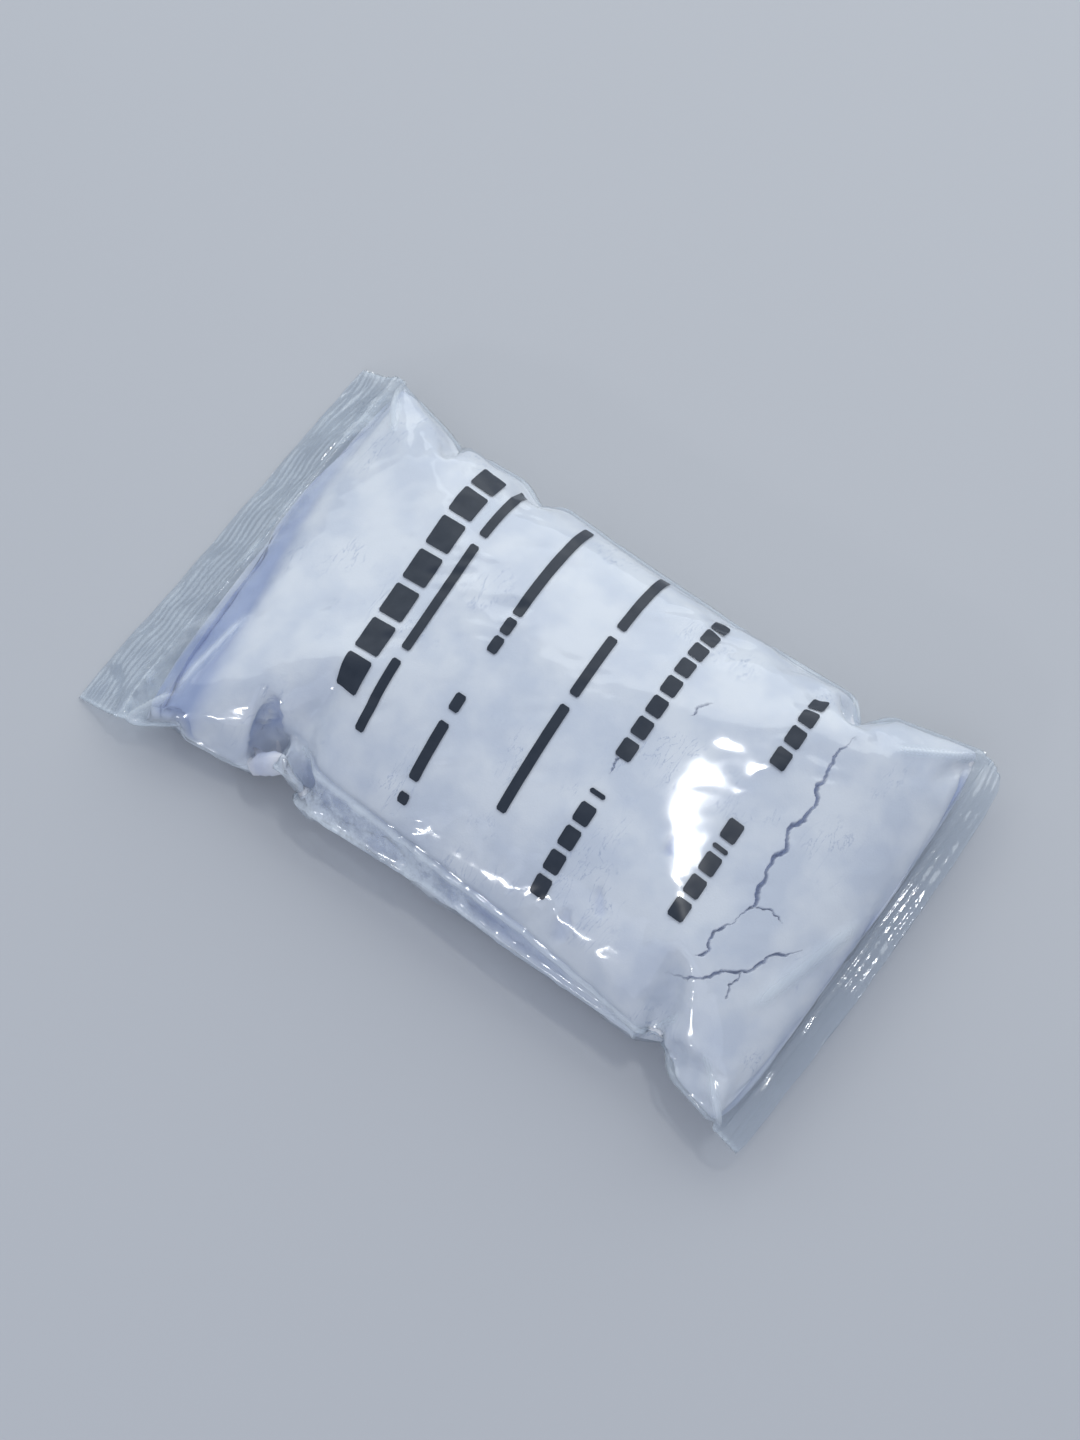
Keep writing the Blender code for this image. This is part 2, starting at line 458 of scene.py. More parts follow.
def coarse_start():
    """The flat tube, a little opened, uneven and pinched, so that it creases where real film does."""
    x, y, panel = pattern(COLUMNS, ROWS)
    low, high = weld_rows(ROWS)
    rings = flat_tube(COLUMNS, ROWS)
    opening = np.cos(math.pi * x / FILM_WIDTH) * panel * START_OPENING
    for row in range(low + 1, high):
        for k in range(2 * COLUMNS):
            seed = UPPER_SEED if panel[k] > 0 else LOWER_SEED
            place = Vector((x[k] * UNEVEN_PER_METRE, y[row] * UNEVEN_PER_METRE, seed))
            rings[row, k, 2] = opening[k] + noise.noise(place) * UNEVENNESS * abs(panel[k])
    for side, distance, depth in PINCHES:
        along = bell(y - TOP_WELD + distance, PINCH_LENGTH)[:, None]
        across = bell(FILM_WIDTH / 2 - side * x, PINCH_REACH)
        rings[..., 2] += depth * along * across
        rings[..., 0] -= side * depth / 2 * along * across
    rings[..., 2] += START_HEIGHT
    return rings


def floor_cloth():
    """The floor that the simulated bag lies on."""
    reach = FLOOR_CLOTH_REACH * SIM_SCALE
    corners = [(-reach, -reach, 0), (reach, -reach, 0), (reach, reach, 0), (-reach, reach, 0)]
    ground = new_piece("floor_cloth", corners, [(0, 1, 2, 3)])
    ground.modifiers.new("hold", "COLLISION")
    ground.collision.thickness_outer = FLOOR_GAP * SIM_SCALE
    ground.collision.cloth_friction = 5
    return ground


def set_film(settings, vertex_mass, bending):
    """Thin film that hardly stretches, filled to the bag's volume. Inside pressure stands for the powder."""
    settings.quality = 8
    settings.mass = vertex_mass
    settings.tension_stiffness = 40
    settings.compression_stiffness = 40
    settings.shear_stiffness = 10
    settings.bending_model = "ANGULAR"
    settings.bending_stiffness = bending
    settings.bending_stiffness_max = BAND_STIFFNESS
    settings.vertex_group_bending = "stiff"
    settings.tension_damping = 5
    settings.compression_damping = 5
    settings.shear_damping = 5
    settings.bending_damping = 0.5
    settings.air_damping = 1
    settings.use_sewing_springs = True
    settings.sewing_force_max = 0
    settings.use_pressure = True
    settings.uniform_pressure_force = 0
    settings.use_pressure_volume = True
    settings.target_volume = BAG_LITRES / 1000 * SIM_SCALE ** 3
    settings.fluid_density = POWDER_HEAD
    settings.vertex_group_pressure = "inside"


def inflate(start, rest, columns, rows, frames, pressure, vertex_mass, bending):
    """Fills the film, sewn along its welded bands, by cloth simulation, and returns its rings. Start and
    rest are rings, in metres. The pressure grows with depth, and the bag lies on a floor."""
    low, high = weld_rows(rows)
    ring = 2 * columns
    numbers = vertex_numbers(rows + 1, ring)
    seams = [
        (int(numbers[row, k]), int(numbers[row, mirrored(ring)[k]]))
        for row in range(1, rows)
        for k in range(1, columns)
        if row <= low or row >= high
    ]
    bag = new_piece("film_cloth", by_vertex(rest, numbers) * SIM_SCALE, ring_faces(numbers), seams)
    inside = np.unique(numbers[low:high + 1])
    bands = np.unique(np.concatenate([numbers[:low + 1].ravel(), numbers[high:].ravel()]))
    folds = np.unique(numbers[low + 1:high, [0, columns]])
    bag.vertex_groups.new(name="inside").add(inside.tolist(), 1, "REPLACE")
    stiff = bag.vertex_groups.new(name="stiff")
    stiff.add(bands.tolist(), 1, "REPLACE")
    ground = floor_cloth()

    cloth = bag.modifiers.new("cloth", "CLOTH")
    if rest is not start:
        stiff.add(folds.tolist(), FOLD_STIFFNESS_SHARE, "REPLACE")
        flat = bag.shape_key_add(name="flat")
        key = bag.shape_key_add(name="start")
        key.data.foreach_set("co", (by_vertex(start, numbers) * SIM_SCALE).ravel())
        key.value = 1
        cloth.settings.rest_shape_key = flat
    set_film(cloth.settings, vertex_mass, bending)
    for frame_number, value in pressure:
        cloth.settings.pressure_factor = value
        cloth.settings.keyframe_insert("pressure_factor", frame=frame_number)
    cloth.collision_settings.distance_min = FLOOR_GAP * SIM_SCALE
    cloth.collision_settings.collision_quality = 3
    cloth.point_cache.frame_end = frames

    scene = bpy.context.scene
    scene.frame_start = 1
    scene.frame_end = frames
    for number in range(1, frames + 1):
        scene.frame_set(number)
    settled = bag.evaluated_get(bpy.context.evaluated_depsgraph_get()).to_mesh()
    points = np.empty(len(settled.vertices) * 3)
    settled.vertices.foreach_get("co", points)
    bpy.data.objects.remove(bag)
    bpy.data.objects.remove(ground)
    scene.frame_set(1)
    return points.reshape(-1, 3)[numbers] / SIM_SCALE


def settle_film():
    """The filled film: the rings of the fine run, in metres."""
    start = coarse_start()
    rings = inflate(start, start, COLUMNS, ROWS, **COARSE_RUN)
    rings = resample(rings, np.arange(2 * ROWS + 1) / 2, np.arange(4 * COLUMNS) / 2)
    low, high = weld_rows(2 * ROWS)
    for rows in (slice(0, low + 1), slice(high, None)):
        rings[rows] = (rings[rows] + rings[rows][:, mirrored(4 * COLUMNS)]) / 2
    panel = pattern(2 * COLUMNS, 2 * ROWS)[2]
    rings[1:low + 1, :, 2] += LAYER_GAP * panel
    rings[high:-1, :, 2] += LAYER_GAP * panel
    return inflate(rings, flat_tube(2 * COLUMNS, 2 * ROWS), 2 * COLUMNS, 2 * ROWS, **FINE_RUN)


def fine_layout():
    """Flat x of the fine ring's points, flat y of the rings, closer in the bands, and each point's panel."""
    x, _, panel = pattern(FINE_COLUMNS, 1)
    y = np.concatenate([
        np.linspace(-FILM_LENGTH / 2, BOTTOM_WELD, BOTTOM_BAND_STEPS + 1)[:-1],
        np.linspace(BOTTOM_WELD, TOP_WELD, BODY_STEPS + 1)[:-1],
        np.linspace(TOP_WELD, FILM_LENGTH / 2, TOP_BAND_STEPS + 1),
    ])
    return x, y, panel


def film_row(y):
    """The fractional row of the fine film at a flat y."""
    return np.interp(y, FLAT_Y, np.arange(len(FLAT_Y)))


def finish_bands(rings, x, y):
    """Lays the two layers of each welded band a film thickness from its middle, with ribs and bead."""
    half = FINE_COLUMNS
    tooth = 1 + 0.5 * np.cos(2 * math.pi * x[:half + 1] / RIB_PITCH)
    for band, weld, width in (
        (y <= BOTTOM_WELD, BOTTOM_WELD, BOTTOM_BAND),
        (y >= TOP_WELD, TOP_WELD, TOP_BAND),
    ):
        ring = rings[band]
        middle = (ring + ring[:, mirrored(2 * half)]) / 2
        strip = even_strip(middle[:, :half + 1], passes=6)
        normal = grid_normals(strip, closed=False)
        from_weld = np.abs(y[band] - weld)
        fade = np.minimum(1, np.minimum(from_weld, width - from_weld) / RIB_FADE)
        rib = np.sin(2 * math.pi * from_weld / RIB_PITCH)[:, None]
        grip = 0.8 + 0.8 * np.abs(noise_on(strip[..., :2], size=0.021, seed=4.0))
        wave = noise_on(strip[..., :2], size=0.012, seed=9.0) * BAND_WAVE
        bead = BEAD_HEIGHT * bell(from_weld - BEAD_FROM_WELD, BEAD_HALF_WIDTH)[:, None]
        rise = (RIB_HEIGHT * rib * tooth * grip + wave) * fade[:, None] + bead
        strip = strip + normal * rise[..., None]
        apart = normal * FILM_THICKNESS * (fade > 0)[:, None, None]
        apart[:, [0, -1]] = 0
        rings[band] = np.concatenate([strip + apart, (strip - apart)[:, -2:0:-1]], axis=1)
    return rings


def left_crease(y):
    """How far the long crease lies from the left side fold at a flat y, and how sharp it is, 0 to 1."""
    places, offsets = np.array(LEFT_CREASE).T
    to_end = np.minimum(y - places[0], places[-1] - y)
    return np.interp(y, places, offsets), np.clip(to_end / LEFT_CREASE_FADE, 0, 1)


def beside_crease(x, y, panel):
    """1 in the strip of film between the long crease and just round the left side fold, 0 elsewhere, with
    soft edges."""
    offset, sharp = left_crease(y)
    from_fold = np.where(panel > 0, 1, -1) * (FILM_WIDTH / 2 - np.abs(x))
    above = 1 + np.exp((from_fold - offset) / STRIP_EDGE)
    below = 1 + np.exp((-STRIP_BELOW - from_fold) / STRIP_EDGE_BELOW)
    return 1 / above / below * (x < 0) * sharp


def fold_crest(across, distance, ends, half_width):
    """A straight crease between two ends, 1 along its crest. All is in millimetres."""
    x0, d0, x1, d1 = ends
    length = math.hypot(x1 - x0, d1 - d0)
    share = ((across - x0) * (x1 - x0) + (distance - d0) * (d1 - d0)) / length ** 2
    off = ((across - x0) * (d1 - d0) - (distance - d0) * (x1 - x0)) / length
    return bell(off, half_width) * np.clip(5 * np.minimum(share, 1 - share), 0, 1)


def dent_depth(across, distance, middle, half_sizes, turn):
    """A V-shaped dent, 1 at its deepest and narrower to one end. Its places are in millimetres."""
    x0, d0 = middle
    length, width = half_sizes
    along = ((across - x0) * math.cos(turn) - (distance - d0) * math.sin(turn)) / length
    off = ((across - x0) * math.sin(turn) + (distance - d0) * math.cos(turn)) / width
    narrow = np.clip(1 - 0.45 * along, 0.3, 1.5)
    return np.clip(1 - np.abs(off) / narrow, 0, 1) * np.clip(1 - along ** 2, 0, 1)


def creases(x, y, panel):
    """The sharp creases, at flat places: how far the film stands out there, and how much painted highlight
    it gets there, together with the whitening of creased film, 0 to 1.
    """
    from_fold = FILM_WIDTH / 2 - np.abs(x) + 0 * y
    offset, sharp = left_crease(y)
    left = (panel > 0) * (x < 0) * sharp
    side = bell(from_fold, CREASE_HALF_WIDTH)
    long = left * bell(from_fold - offset, CREASE_HALF_WIDTH)
    valley = left * bell(from_fold - offset / 2, offset / 3)
    rise = CREASE_HEIGHT * (side + 1.6 * long - 1.8 * valley)
    # Painted highlight: the side folds and the long crease are painted whiter along their crests, together
    # with the whitening of creased film.
    whitening_and_highlight = np.maximum(0.7 * side, left * bell(from_fold - offset, CREASE_HIGHLIGHT_HALF_WIDTH))
    across = x * 1000
    distance = (TOP_WELD - y) * 1000
    # The straight creases get the same painted highlight along their crests.
    for *ends, height, half_width in FOLDS:
        crest = fold_crest(across, distance, ends, half_width) * (panel > 0)
        rise = rise + height / 1000 * crest
        whitening_and_highlight = np.maximum(whitening_and_highlight, 0.8 * crest)
    for x0, d0, length, width, depth, turn in DENTS:
        dent = dent_depth(across, distance, (x0, d0), (length, width), turn) * (panel > 0)
        rise = rise - depth / 1000 * dent
    return rise, whitening_and_highlight


def crinkle(rings, x, y, panel):
    """Film detail that the simulation is too coarse for: the sharp creases, and faint crinkles."""
    normal = grid_normals(rings, closed=True)
    body = np.clip(np.minimum(y - BOTTOM_WELD, TOP_WELD - y) / WELD_FADE, 0, 1)[:, None]
    flat = np.stack(np.broadcast_arrays(x + 0.3 * panel, y[:, None]), axis=-1)
    slant = flat @ np.array([[0.8, -0.6], [0.6, 0.8]])
    streak = (np.abs(noise_on(slant * (1, 0.3), size=0.006, seed=2.0)) - 0.15).clip(0)
    from_taut = (x / TAUT_HALF_WIDTH) ** 2 + ((y[:, None] - TAUT_Y) / TAUT_HALF_LENGTH) ** 2
    taut = np.exp(-from_taut) * (panel > 0)
    wrinkle = WRINKLE_HEIGHT * noise_on(flat, size=0.013, seed=6.0) * streak
    wrinkle = wrinkle + GRAIN_HEIGHT * noise_on(flat, size=0.004, seed=11.0)
    loose = beside_crease(x, y[:, None], panel)
    rise = creases(x, y[:, None], panel)[0] + wrinkle * (1 - 0.9 * taut + 1.5 * loose)
    return rings + normal * (rise * body)[..., None]


def film_rings(settled, x, y, panel):
    """The finished film as fine rings, stood on the floor and centred where the CAD's bag is."""
    rows = (y / FILM_LENGTH + 0.5) * (settled.shape[0] - 1)
    columns = np.arange(2 * FINE_COLUMNS) / FINE_COLUMNS * (settled.shape[1] / 2)
    rings = resample(settled, rows, columns)
    crown = (np.clip(1.4 - (x / CROWN_HALF_WIDTH) ** 2, 0, 1) * (panel > 0))[:, None]
    rings = rings + (even_rings(rings, passes=6) - rings) * crown
    rings = crinkle(finish_bands(rings, x, y), x, y, panel)
    low, high = rings.min(axis=(0, 1)), rings.max(axis=(0, 1))
    middle = (CAD_BOX[0] + CAD_BOX[1]) / 2
    return rings + (middle.x - (low[0] + high[0]) / 2, middle.y - (low[1] + high[1]) / 2, -low[2])


def film_point(x, y):
    """Points and outward normals of the film's upper panel at flat places x and y, arrays of one shape."""
    column = (x / FILM_WIDTH + 0.5) * FINE_COLUMNS
    return ring_point(FILM, column, film_row(y)), ring_point(FILM_NORMALS, column, film_row(y))


def film_dust():
    """How much powder clings to the film, 0 to 1: near the top weld and beside the long crease."""
    y = FLAT_Y[:, None]
    near_weld = DUST_AT_WELD - DUST_AT_WELD * np.clip((TOP_WELD - y) / DUST_REACH, 0, 1)
    fade_y, fade_length = STRIP_DUST_FADE
    beside = beside_crease(FLAT_X, y, PANEL) * np.clip((y - fade_y) / fade_length, 0.2, 0.9)
    dust = np.maximum(near_weld, beside)
    dust[FLAT_Y > TOP_WELD] *= DUST_ON_BAND
    return dust


def keep_inside(points, gap):
    """Moves every point that is nearer to the film than the gap, or outside it, to that gap inside it."""
    moved = points.copy()
    for number, point in enumerate(points):
        place, normal, _, _ = FILM_TREE.find_nearest(Vector(point))
        if (place - Vector(point)).dot(normal) < gap:
            moved[number] = place - normal * gap
    return moved


def powder_rings():
    """The powder: the film's inside, evened out, open inside the top weld and under the long crease."""
    column = np.arange(0, 2 * FINE_COLUMNS, POWDER_STEP)
    x = np.interp(column, np.arange(2 * FINE_COLUMNS + 1), np.append(FLAT_X, FLAT_X[0]))
    wander = noise_on(np.stack([x, 0 * x], axis=-1), size=0.022, seed=7.0)
    lean = 0.5 - 0.5 * np.tanh(x / LEFT_WIDTH)
    start = BOTTOM_WELD + BOTTOM_HEADSPACE + END_WANDER * wander
    stop = TOP_WELD - TOP_HEADSPACE - LEFT_SHORTER * lean - END_WANDER * wander
    bend = 1 - np.cos(np.linspace(0.05, math.pi / 2, CAP_ROWS))
    between = np.linspace(0, 1, POWDER_ROWS)[:, None] * (stop - start - 2 * POWDER_CAP)
    y = np.concatenate([
        POWDER_CAP * bend[:-1, None] + start,
        between + start + POWDER_CAP,
        stop - POWDER_CAP * bend[-2::-1, None],
    ])
    rings = even_rings(ring_point(FILM, np.broadcast_to(column, y.shape), film_row(y)), passes=4)
    reach = np.clip(np.minimum(y - start, stop - y) / POWDER_CAP, 0, 1)
    drawn = (1 - (1 - reach) ** 3) ** (1 / 3)
    centre = rings.mean(axis=1, keepdims=True)
    rings = centre + (rings - centre) * drawn[..., None]
    inset = powder_inset(rings, x, y, lean, column < FINE_COLUMNS)
    return rings - grid_normals(rings, closed=True) * inset[..., None]


def powder_inset(rings, x, y, lean, upper):
    """How far the powder's surface lies in from the film's: the trough inside the top weld, which is deeper
    to the left, the strip beside the long crease, the hollows, and lumps all over."""
    reach = TROUGH_REACH + TROUGH_REACH_LEFT * lean
    from_middle = (TOP_WELD - y - TROUGH_START - 0.8 * reach) / reach
    trough = upper * (0.2 + 0.8 * lean) * np.exp(-np.abs(from_middle) ** 3)
    fade_y, fade_length = STRIP_HOLLOW_FADE
    beside = beside_crease(x, y, np.where(upper, 1, -1)) * np.clip((y - fade_y) / fade_length, 0.2, 1)
    lumps = np.abs(noise_on(rings, size=0.012, seed=3.0))
    lumps = lumps + 0.5 * np.abs(noise_on(rings, size=0.005, seed=5.0))
    inset = SURFACE_INSET + TROUGH_DEPTH * trough + beside * (STRIP_DEPTH + STRIP_LUMPS * lumps)
    inset = inset + SURFACE_LUMPS * lumps
    for hollow in HOLLOWS:
        inset = inset + hollow_depth(rings, *hollow)
    return inset


def hollow_depth(points, x, distance, length, width, depth, lean):
    """How deep a hollow in the powder is at each point: a ragged teardrop, its sizes in millimetres."""
    x = x / 1000
    y = TOP_WELD - distance / 1000
    place, normal = film_point(np.array(x), np.array(y))
    ahead, _ = film_point(np.array(x + 0.001 * math.cos(lean)), np.array(y + 0.001 * math.sin(lean)))
    along = (ahead - place) / np.linalg.norm(ahead - place)
    offset = (points - place) * 1000
    a = offset @ along / length
    b = offset @ np.cross(normal, along) / width / np.clip(1 - 0.55 * a, 0.35, 1.6)
    near = np.linalg.norm(offset, axis=-1) < HOLLOW_LIMIT
    ragged = 0.5 * noise_on(points, size=0.0022, seed=8.0)
    return depth / 1000 * np.clip(1 - (a * a + b * b) + ragged, 0, 1) ** 0.45 * near


def powder_mesh(rings):
    """A closed mesh of the powder's rings, its two ends fanned shut, kept clear of the film."""
    count, ring = rings.shape[:2]
    numbers = np.arange(count * ring).reshape(count, ring)
    points = np.concatenate([rings.reshape(-1, 3), rings[:1].mean(axis=1), rings[-1:].mean(axis=1)])
    for _ in range(3):
        points = keep_inside(points, POWDER_GAP)
    faces = ring_faces(numbers).tolist()
    for k in range(ring):
        ahead = (k + 1) % ring
        faces.append([count * ring, int(numbers[0, ahead]), int(numbers[0, k])])
        faces.append([count * ring + 1, int(numbers[-1, k]), int(numbers[-1, ahead])])
    return new_piece("powder", points, faces)


def crack_line(corners, seed):
    """A crooked line through the corners, in metres, made of short steps."""
    rng = np.random.default_rng(seed)
    line = np.array(corners) / 1000
    while np.linalg.norm(np.diff(line, axis=0), axis=1).max() > CRACK_STEP:
        step = np.diff(line, axis=0)
        across = np.stack([-step[:, 1], step[:, 0]], axis=1)
        middle = line[:-1] + step / 2 + across * rng.uniform(-CRACK_JITTER, CRACK_JITTER, (len(step), 1))
        line = np.insert(line, np.arange(1, len(line)), middle, axis=0)
    return line


def crack_places():
    """A tree of the places along all the cracks, and the half width and depth of the crack at each."""
    places, widths, depths = [], [], []
    for seed, (half_width, depth, corners) in enumerate(CRACKS):
        line = crack_line(corners, seed)
        point, normal = film_point(line[:, 0], TOP_WELD - line[:, 1])
        along = np.linspace(0, 1, len(line))
        taper = np.clip(np.minimum(along, 1 - along) * 6, 0.25, 1)
        taper = taper * (0.75 + 0.5 * np.abs(np.sin(along * 17 + seed)))
        places.extend(point - normal * POWDER_GAP)
        widths.extend(1.5 * half_width / 1000 * taper)
        depths.extend(depth / 1000 * taper)
    tree = KDTree(len(places))
    for number, place in enumerate(places):
        tree.insert(place, number)
    tree.balance()
    return tree, widths, depths


def carve_cracks(mesh):
    """Cuts the cracks into the powder, on a mesh that is split finer close to them."""
    tree, widths, depths = crack_places()
    bm = bmesh.new()
    bm.from_mesh(mesh)
    for reach in CRACK_SPLITS:
        near = {v for v in bm.verts if tree.find(v.co)[2] < reach}
        edges = [e for e in bm.edges if e.verts[0] in near and e.verts[1] in near]
        bmesh.ops.subdivide_edges(bm, edges=edges, cuts=1, use_grid_fill=True)
    bmesh.ops.remove_doubles(bm, verts=bm.verts, dist=SAME_POINT)
    bmesh.ops.triangulate(bm, faces=bm.faces)
    bm.normal_update()
    moves = []
    for vert in bm.verts:
        _, number, distance = tree.find(vert.co)
        if distance < widths[number]:
            moves.append((vert, vert.normal * -depths[number] * (1 - (distance / widths[number]) ** 2)))
    for vert, move in moves:
        vert.co += move
    bm.to_mesh(mesh)
    bm.free()
    mesh.shade_smooth()


def painted_gap_shade(mesh):
    """The painted shade on the powder at each vertex, 0 to 1: more the further the film stands off it, with
    less of it on the left side.
    """
    gaps = np.array([FILM_TREE.find_nearest(v.co)[3] for v in mesh.vertices])
    left_side = np.array([v.co.x < LEFT_SIDE_X and v.co.y < LEFT_SIDE_END for v in mesh.vertices])
    return np.clip((gaps - POWDER_GAP) / FULL_SHADE_GAP, 0, 1) * (1 - LEFT_SIDE_LESS_SHADE * left_side)


def ink_block(left, right, distance, tilt, height):
    """Points and faces of one plain ink block on the upper film, a thin closed slab with rounded corners."""
    across = np.linspace(left, right, max(4, int((right - left) / INK_STEP))) / 1000
    along = np.linspace(-height / 2, height / 2, max(4, int(height / INK_STEP))) / 1000
    from_side = np.minimum(across - across[0], across[-1] - across)
    inwards = INK_CORNER - np.clip(from_side, 0, INK_CORNER)
    short = INK_CORNER - np.sqrt(INK_CORNER ** 2 - inwards ** 2)
    y = along[:, None] * (1 - short / (height / 2000))
    flat_y = TOP_WELD - distance / 1000 - tilt * across + y
    place, normal = film_point(np.broadcast_to(across, y.shape), flat_y)
    points = [(place + normal * lift).reshape(-1, 3) for lift in (INK_LIFT + INK_THICKNESS, INK_LIFT)]
    top = np.arange(y.size).reshape(y.shape)
    under = top + y.size
    rim = np.concatenate([top[0], top[1:, -1], top[-1, -2::-1], top[-2:0:-1, 0]])
    side = np.stack([np.roll(rim, -1), rim, rim + y.size, np.roll(rim, -1) + y.size], axis=-1)
    upper = np.stack([top[:-1, :-1], top[:-1, 1:], top[1:, 1:], top[1:, :-1]], axis=-1)
    lower = np.stack([under[:-1, :-1], under[1:, :-1], under[1:, 1:], under[:-1, 1:]], axis=-1)
    faces = [quads.reshape(-1, 4) for quads in (upper, lower, side)]
    return np.concatenate(points), np.concatenate(faces)


def print_blocks():
    """All the plain ink blocks, as one piece."""
    points, faces, count = [], [], 0
    for distance, tilt, height, runs in PRINT_ROWS:
        for start, width, gap, number in runs:
            for k in range(number):
                left = start + k * (width + gap)
                block, quads = ink_block(left, left + width, distance, tilt, height)
                points.append(block)
                faces.append(quads + count)
                count += len(block)
    blocks = new_piece("print", np.concatenate(points), np.concatenate(faces))
    blocks.data.set_sharp_from_angle(angle=math.radians(INK_SHARP_ANGLE))
    return blocks


class Surface:
    """A new material, empty at first. Most calls add a node and give back the output that is wanted."""

    def __init__(self, name):
        self.material = bpy.data.materials.new(name)
        self.material.use_nodes = True
        self.tree = self.material.node_tree
        self.tree.nodes.clear()

    def add(self, kind, inputs, **settings):
        """A node of that kind. Its inputs are values or outputs of other nodes."""
        node = self.tree.nodes.new("ShaderNode" + kind)
        for key, value in settings.items():
            setattr(node, key, value)
        for key, value in inputs.items():
            if isinstance(value, bpy.types.NodeSocket):
                self.tree.links.new(value, node.inputs[key])
            else:
                node.inputs[key].default_value = value
        return node.outputs

    def maths(self, operation, *values):
        return self.add("Math", dict(enumerate(values)), operation=operation)[0]

    def mixed(self, share, first, second, blend_type="MIX"):
        colours = {0: share, 6: first, 7: second}
        return self.add("Mix", colours, data_type="RGBA", blend_type=blend_type)[2]

    def noise(self, place, scale, detail, **inputs):
        return self.add("TexNoise", {"Vector": place, "Scale": scale, "Detail": detail, **inputs})["Fac"]

    def ranged(self, value, low, high, start=0.0, end=1.0):
        """A value taken from the range low to high to the range start to end, and no further."""
        ends = {"From Min": low, "From Max": high, "To Min": start, "To Max": end}
        return self.add("MapRange", {"Value": value, **ends})[0]

    def place(self):
        return self.add("TexCoord", {})["Object"]

    def point_value(self, name):
        return self.add("Attribute", {}, attribute_name=name)["Fac"]

    def finish(self, shader):
        self.add("OutputMaterial", {"Surface": shader})
        return self.material


def film_material():
    """Clear glossy film, a little blue and faintly milky, with powder dust clinging to it where its dust
    value says, and a painted highlight, white, along the creases where its crease value says, together with
    the whitening of creased film.
    """
    film = Surface("clear_film")
    place = film.place()
    facing = film.add("LayerWeight", {"Blend": 0.5})["Facing"]
    mirror = film.maths("MULTIPLY_ADD", film.maths("POWER", facing, 5.0), 0.94, 0.06)
    specks = film.noise(place, scale=160.0, detail=4.0, Roughness=0.65)
    patches = film.noise(place, scale=45.0, detail=2.0)
    clings = film.ranged(film.maths("MULTIPLY", specks, patches), 0.20, 0.36, end=0.60)
    # Painted highlight: the crease value whitens the film along its creases, on top of its faint milkiness.
    whitening_and_highlight = film.maths("MULTIPLY_ADD", film.point_value("crease"), 0.55, 0.045)
    haze_dust_and_highlight = film.maths("MULTIPLY_ADD", clings, film.point_value("dust"), whitening_and_highlight)
    clear = film.add("BsdfTransparent", {"Color": CLEAR_FILM})[0]
    milky_and_highlit = film.add("BsdfDiffuse", {"Color": DUST_AND_HIGHLIGHT_FILM})[0]
    gloss = film.add("BsdfGlossy", {"Color": WHITE, "Roughness": 0.10})[0]
    hazy = film.add("MixShader", {0: haze_dust_and_highlight, 1: clear, 2: milky_and_highlit})[0]
    return film.finish(film.add("MixShader", {0: mirror, 1: hazy, 2: gloss})[0])


def powder_material():
    """White cement: palest where the film presses on it, with painted shade, darker and bluer, where the
    film stands off it, clouded, with fine grain and painted shade of fine crinkle lines here and there."""
    powder = Surface("white_cement")
    place = powder.place()
    # Painted shade: the powder turns darker and bluer where the film stands off it, by the gap value.
    gap_shaded_powder = powder.mixed(powder.point_value("gap"), PRESSED_POWDER, GAP_SHADED_POWDER)
    pale = powder.ranged(powder.noise(place, scale=60.0, detail=4.0), 0.38, 0.60)
    toned = powder.mixed(1.0, gap_shaded_powder, powder.mixed(pale, POWDER_CLOUD, WHITE), blend_type="MULTIPLY")
    # Painted shade: thin dark lines in the powder's colour stand for the shade in fine crinkles of the film,
    # in broken patches.
    stretch = {"Vector": place, "Rotation": (0, 0, 0.25), "Scale": (70, 260, 70)}
    stretched = powder.add("Mapping", stretch)["Vector"]
    lines = powder.noise(stretched, scale=1.0, detail=5.0, Roughness=0.6, Distortion=0.6)
    from_line = powder.maths("ABSOLUTE", powder.maths("ADD", lines, -0.5))
    thin = powder.ranged(from_line, 0.0, 0.012, start=1.0, end=0.0)
    broken = powder.ranged(powder.noise(place, scale=38.0, detail=3.0), 0.54, 0.62, end=0.8)
    colour = powder.mixed(powder.maths("MULTIPLY", thin, broken), toned, CRINKLE_SHADE_LINE)
    grain = powder.noise(place, scale=1500.0, detail=3.0)
    rough = powder.add("Bump", {"Height": grain, "Strength": 0.3, "Distance": 0.0002})[0]
    chalky = {"Base Color": colour, "Roughness": 0.95, "Specular IOR Level": 0.2, "Normal": rough}
    return powder.finish(powder.add("BsdfPrincipled", chalky)[0])


def plain_material(name, colour, lighter, size, roughness, shine):
    """A plain surface whose colour varies a little, in clouds of that size."""
    surface = Surface(name)
    cloud = surface.noise(surface.place(), scale=1 / size, detail=3.0)
    tone = surface.mixed(cloud, (*colour, 1), (*lighter, 1))
    plain = {"Base Color": tone, "Roughness": roughness, "Specular IOR Level": shine}
    return surface.finish(surface.add("BsdfPrincipled", plain)[0])


def round_floor():
    angles = np.linspace(0, 2 * math.pi, FLOOR_CORNERS, endpoint=False)
    corners = FLOOR_RADIUS * np.stack([np.cos(angles), np.sin(angles), 0 * angles], axis=1)
    ground = new_piece("floor", corners, [range(FLOOR_CORNERS)])
    ground.location.z = -FLOOR_DROP
    return ground


def area_light(name, place, size, power, colour):
    lamp = bpy.data.lights.new(name, "AREA")
    lamp.shape = "RECTANGLE"
    lamp.size, lamp.size_y = size
    lamp.energy = power
    lamp.color = colour
    light = bpy.data.objects.new(name, lamp)
    light.location = place
    light.rotation_euler = (TARGET - Vector(place)).to_track_quat("-Z", "Y").to_euler()
    bpy.context.scene.collection.objects.link(light)


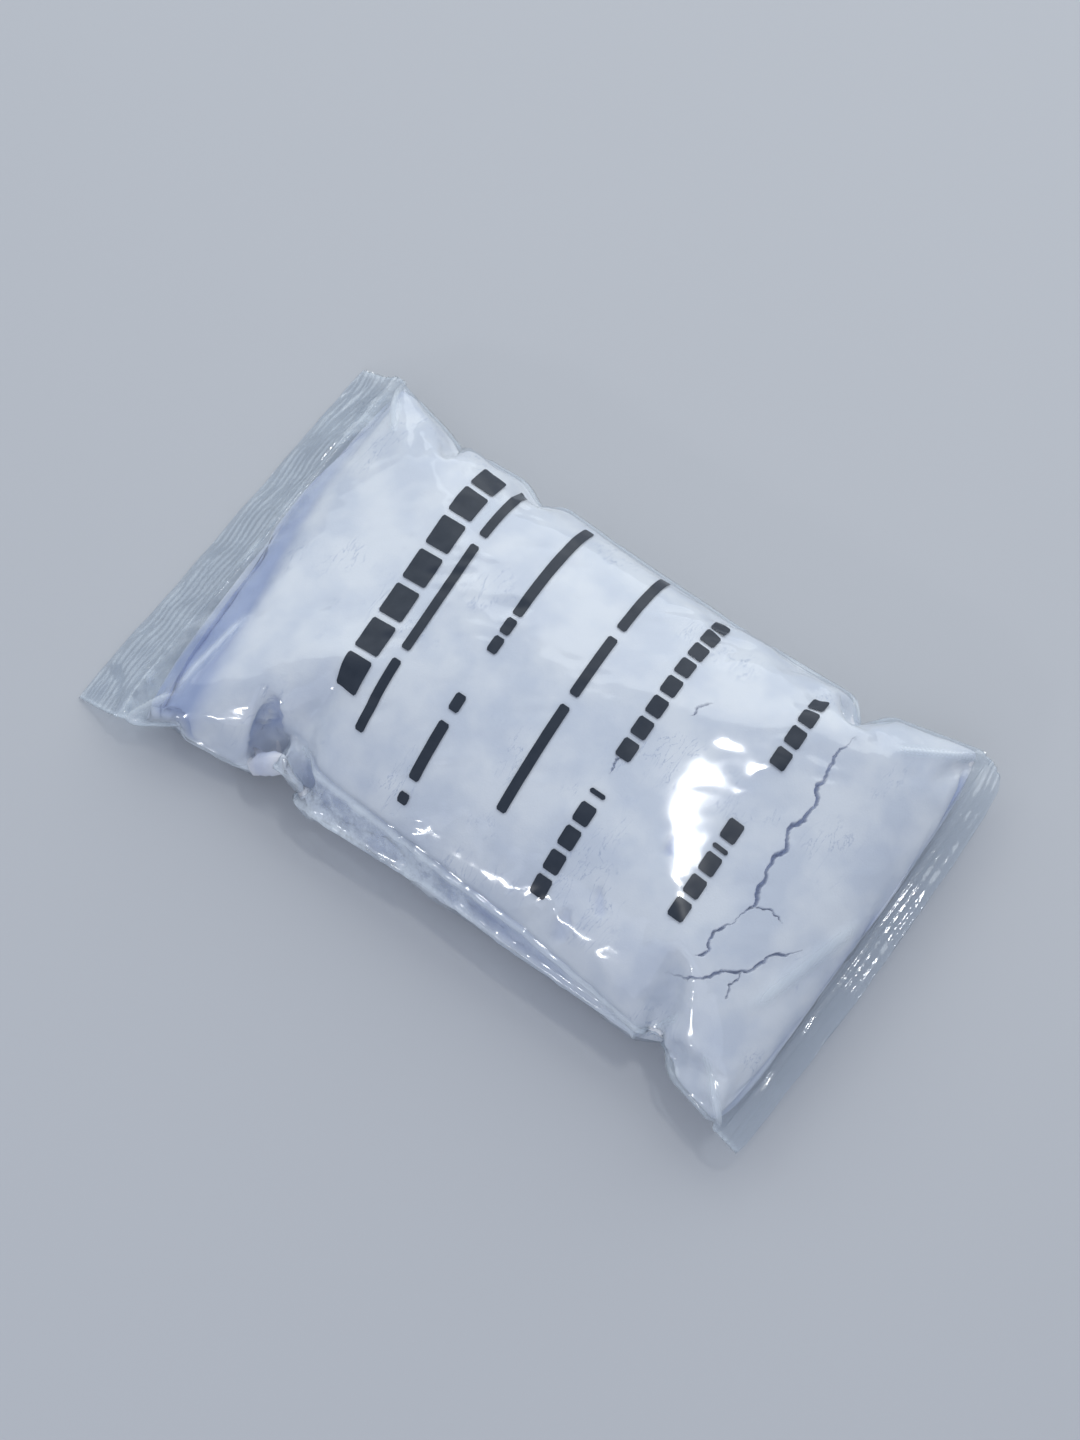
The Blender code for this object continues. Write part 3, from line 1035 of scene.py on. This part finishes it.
def studio():
    """Soft light, mostly from the right, two small lamps for highlights, and a pale blue surround."""
    for lamp in LAMPS:
        area_light(*lamp)
    world = bpy.data.worlds.new("surround")
    world.use_nodes = True
    background = world.node_tree.nodes["Background"]
    background.inputs["Color"].default_value = SURROUND
    background.inputs["Strength"].default_value = SURROUND_STRENGTH
    bpy.context.scene.world = world
    bpy.context.scene.view_settings.view_transform = "Standard"


def photo_camera():
    """The camera at the photograph's viewing angle."""
    lens = bpy.data.cameras.new("camera")
    lens.lens = CAMERA_LENS
    camera = bpy.data.objects.new("camera", lens)
    bpy.context.scene.collection.objects.link(camera)
    azimuth = math.radians(CAMERA_AZIMUTH)
    elevation = math.radians(CAMERA_ELEVATION)
    back = Vector((
        math.sin(azimuth) * math.cos(elevation),
        -math.cos(azimuth) * math.cos(elevation),
        math.sin(elevation),
    ))
    camera.location = TARGET + back * CAMERA_DISTANCE
    camera.rotation_euler = (-back).to_track_quat("-Z", "Y").to_euler()
    bpy.context.scene.camera = camera


SETTLED = settle_film()
FLAT_X, FLAT_Y, PANEL = fine_layout()
FILM = film_rings(SETTLED, FLAT_X, FLAT_Y, PANEL)
FILM_NORMALS = grid_normals(FILM, closed=True)
FILM_NUMBERS = vertex_numbers(*FILM.shape[:2])
film = new_piece("film", by_vertex(FILM, FILM_NUMBERS), ring_faces(FILM_NUMBERS))
FILM_TREE = BVHTree.FromPolygons(
    [vertex.co for vertex in film.data.vertices],
    [polygon.vertices for polygon in film.data.polygons],
)
add_point_values(film.data, "dust", by_vertex(film_dust(), FILM_NUMBERS))
# The painted highlight along the creases, with the whitening of creased film, kept as the crease value.
crease_whitening_and_highlight = creases(FLAT_X, FLAT_Y[:, None], PANEL)[1]
add_point_values(film.data, "crease", by_vertex(crease_whitening_and_highlight, FILM_NUMBERS))
film.data.materials.append(film_material())

powder = powder_mesh(powder_rings())
carve_cracks(powder.data)
# The powder's painted shade, from how far the film stands off it.
add_point_values(powder.data, "gap", painted_gap_shade(powder.data))
powder.data.materials.append(powder_material())

ink = print_blocks()
ink_look = plain_material("ink", INK, INK_LIGHTER, size=0.004, roughness=0.25, shine=0.25)
ink.data.materials.append(ink_look)

floor = round_floor()
floor_look = plain_material("floor", FLOOR, FLOOR_LIGHTER, size=0.3, roughness=0.7, shine=0.5)
floor.data.materials.append(floor_look)

studio()
photo_camera()

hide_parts("film_bag")
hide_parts("cement_fill")
for piece in (film, powder, ink):
    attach(piece, "root")
